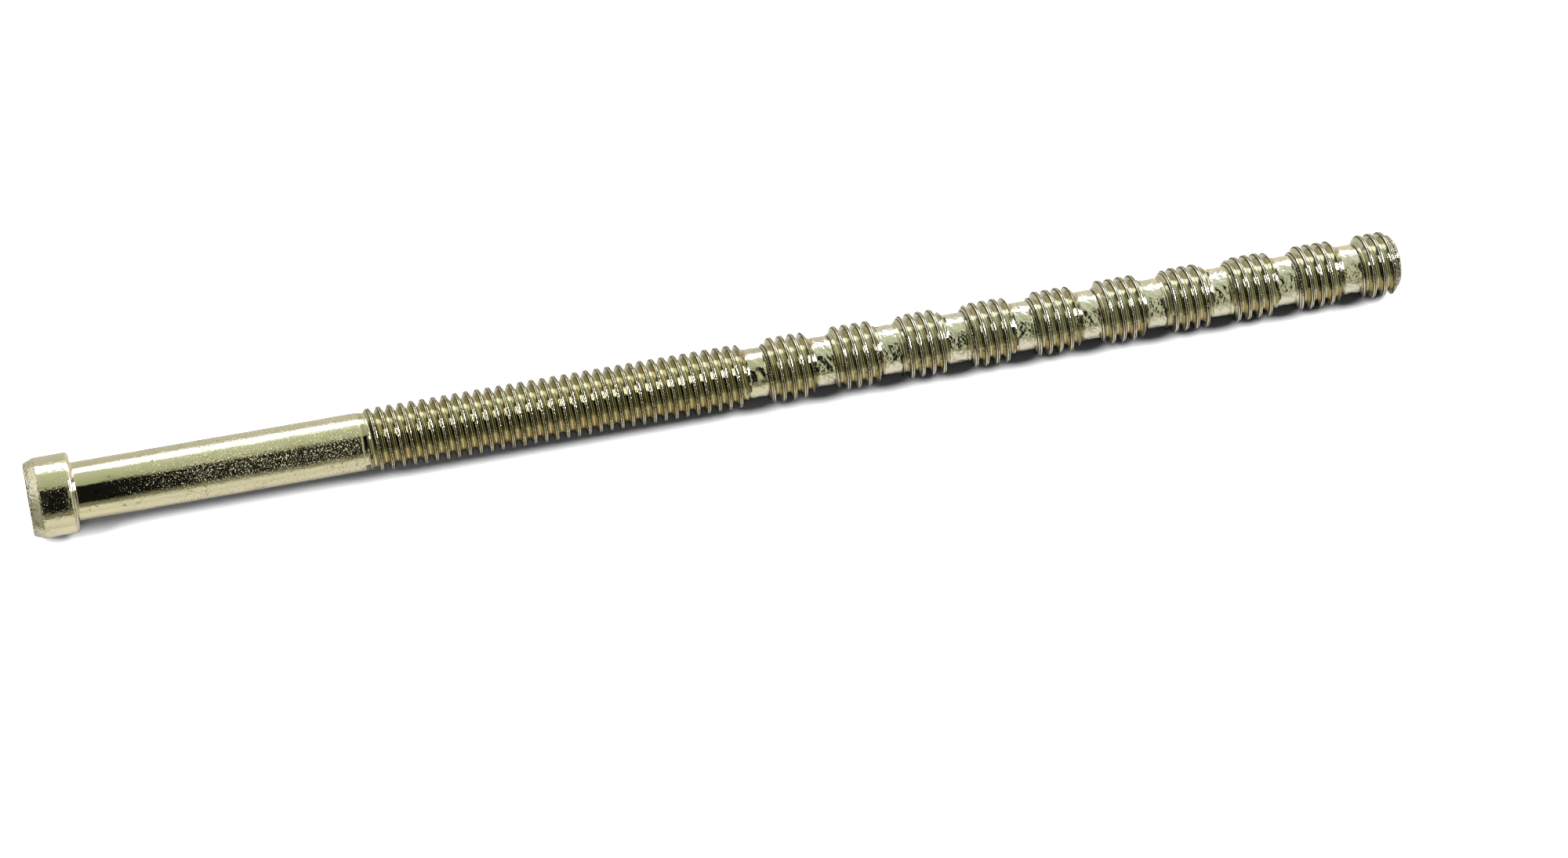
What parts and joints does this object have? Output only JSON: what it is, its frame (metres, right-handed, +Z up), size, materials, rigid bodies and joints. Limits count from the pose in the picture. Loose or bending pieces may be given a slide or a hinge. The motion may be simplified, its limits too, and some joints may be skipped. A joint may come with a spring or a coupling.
{
  "type": "break-off socket head screw",
  "caption": "Long slim screw with a small cylindrical socket head, a plain shank and a right-hand thread cut by narrow necks, so that its end can be snapped off to length.",
  "frame": {"origin": "on the screw's axis, at the bearing face under the head", "axes": "+X along the screw's axis from the head to the tip, +Z up with the screw lying"},
  "size_m": [0.1017, 0.0058, 0.0058],
  "materials": {
    "plating": "glossy pale yellow zinc plating on steel, with small dents and specks"
  },
  "bodies": {
    "root": {"screw": "plating"}
  },
  "joints": []
}
